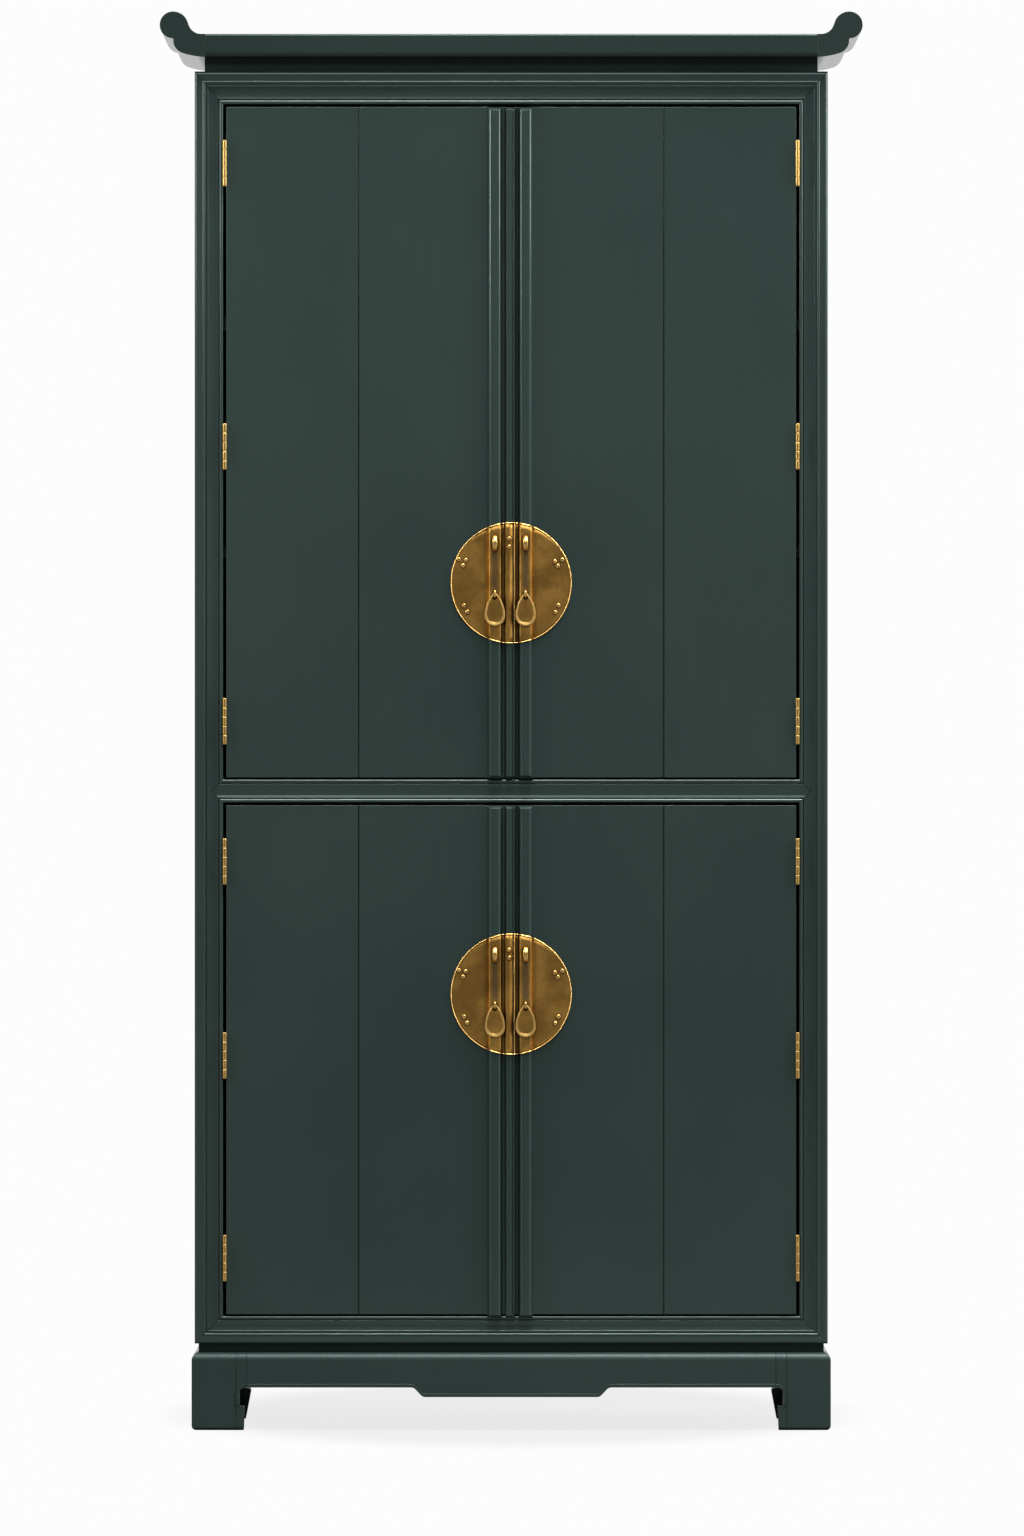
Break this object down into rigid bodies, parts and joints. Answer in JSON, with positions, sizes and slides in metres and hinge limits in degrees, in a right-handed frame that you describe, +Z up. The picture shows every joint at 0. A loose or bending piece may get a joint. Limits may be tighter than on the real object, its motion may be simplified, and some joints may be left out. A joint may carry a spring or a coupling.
{
  "type": "hutch",
  "caption": "Tall lacquered wooden hutch with scrolled cornice, moulded face frame, hinged plank doors with round brass lock plates, inner shelves and a bracket base on hoof feet.",
  "frame": {"origin": "on the floor, under the middle of the cornice's outline", "axes": "+Z up, doors facing -Y, +X to the right of a person who faces the doors"},
  "size_m": [1.065, 0.56, 2.15],
  "materials": {
    "lacquered_wood": "dark green-grey satin lacquer",
    "inner_wood": "the same lacquer, thinner and duller",
    "brass": "aged brass with bright rims",
    "strike_steel": "plain steel",
    "catch_plastic": "dark plastic"
  },
  "bodies": {
    "case": {"front_left_foot": "lacquered_wood", "front_right_foot": "lacquered_wood", "rear_left_foot": "lacquered_wood", "rear_right_foot": "lacquered_wood", "foot_brackets": "lacquered_wood", "front_apron": "lacquered_wood", "side_aprons": "lacquered_wood", "rear_apron": "lacquered_wood", "waist_strips": "lacquered_wood", "left_side_panel": "lacquered_wood", "right_side_panel": "lacquered_wood", "left_stile": "lacquered_wood", "right_stile": "lacquered_wood", "top_rail": "lacquered_wood", "bottom_rail": "lacquered_wood", "middle_rail": "lacquered_wood", "neck_strips": "lacquered_wood", "cornice_board": "lacquered_wood", "left_cornice_scroll": "lacquered_wood", "right_cornice_scroll": "lacquered_wood", "bottom_panel": "inner_wood", "middle_partition": "inner_wood", "top_panel": "inner_wood", "back_panel": "inner_wood", "shelves": "inner_wood", "shelf_battens": "inner_wood", "frame_hinge_leaves": "brass", "magnetic_catches": "catch_plastic"},
    "upper_left_door": {"upper_left_outer_board": "lacquered_wood", "upper_left_inner_board": "lacquered_wood", "upper_left_mouldings": "lacquered_wood", "upper_left_lock_plate": "brass", "upper_left_loop_and_staple": "brass", "upper_left_hinge_leaves": "brass", "upper_left_strike": "strike_steel"},
    "upper_left_pull": {"upper_left_pull": "brass"},
    "upper_right_door": {"upper_right_outer_board": "lacquered_wood", "upper_right_inner_board": "lacquered_wood", "upper_right_mouldings": "lacquered_wood", "upper_right_lock_plate": "brass", "upper_right_loop_and_staple": "brass", "upper_right_hinge_leaves": "brass", "upper_right_strike": "strike_steel"},
    "upper_right_pull": {"upper_right_pull": "brass"},
    "lower_left_door": {"lower_left_outer_board": "lacquered_wood", "lower_left_inner_board": "lacquered_wood", "lower_left_mouldings": "lacquered_wood", "lower_left_lock_plate": "brass", "lower_left_loop_and_staple": "brass", "lower_left_hinge_leaves": "brass", "lower_left_strike": "strike_steel"},
    "lower_left_pull": {"lower_left_pull": "brass"},
    "lower_right_door": {"lower_right_outer_board": "lacquered_wood", "lower_right_inner_board": "lacquered_wood", "lower_right_mouldings": "lacquered_wood", "lower_right_lock_plate": "brass", "lower_right_loop_and_staple": "brass", "lower_right_hinge_leaves": "brass", "lower_right_strike": "strike_steel"},
    "lower_right_pull": {"lower_right_pull": "brass"}
  },
  "joints": [
    {"name": "upper_left_door_swing", "type": "hinge", "parent": "case", "child": "upper_left_door", "pos_m": [-0.4345, -0.2561, 1.2845], "axis": [0, 0, -1], "range_deg": [0, 170]},
    {"name": "upper_left_pull_lift", "type": "hinge", "parent": "upper_left_door", "child": "upper_left_pull", "pos_m": [-0.0247, -0.2662, 1.267], "axis": [-1, 0, 0], "range_deg": [0, 90]},
    {"name": "upper_right_door_swing", "type": "hinge", "parent": "case", "child": "upper_right_door", "pos_m": [0.4345, -0.2561, 1.2845], "axis": [0, 0, 1], "range_deg": [0, 170]},
    {"name": "upper_right_pull_lift", "type": "hinge", "parent": "upper_right_door", "child": "upper_right_pull", "pos_m": [0.0219, -0.2662, 1.267], "axis": [-1, 0, 0], "range_deg": [0, 90]},
    {"name": "lower_left_door_swing", "type": "hinge", "parent": "case", "child": "lower_left_door", "pos_m": [-0.4345, -0.2561, 0.661], "axis": [0, 0, -1], "range_deg": [0, 170]},
    {"name": "lower_left_pull_lift", "type": "hinge", "parent": "lower_left_door", "child": "lower_left_pull", "pos_m": [-0.0247, -0.2662, 0.6435], "axis": [-1, 0, 0], "range_deg": [0, 90]},
    {"name": "lower_right_door_swing", "type": "hinge", "parent": "case", "child": "lower_right_door", "pos_m": [0.4345, -0.2561, 0.661], "axis": [0, 0, 1], "range_deg": [0, 170]},
    {"name": "lower_right_pull_lift", "type": "hinge", "parent": "lower_right_door", "child": "lower_right_pull", "pos_m": [0.0219, -0.2662, 0.6435], "axis": [-1, 0, 0], "range_deg": [0, 90]}
  ]
}
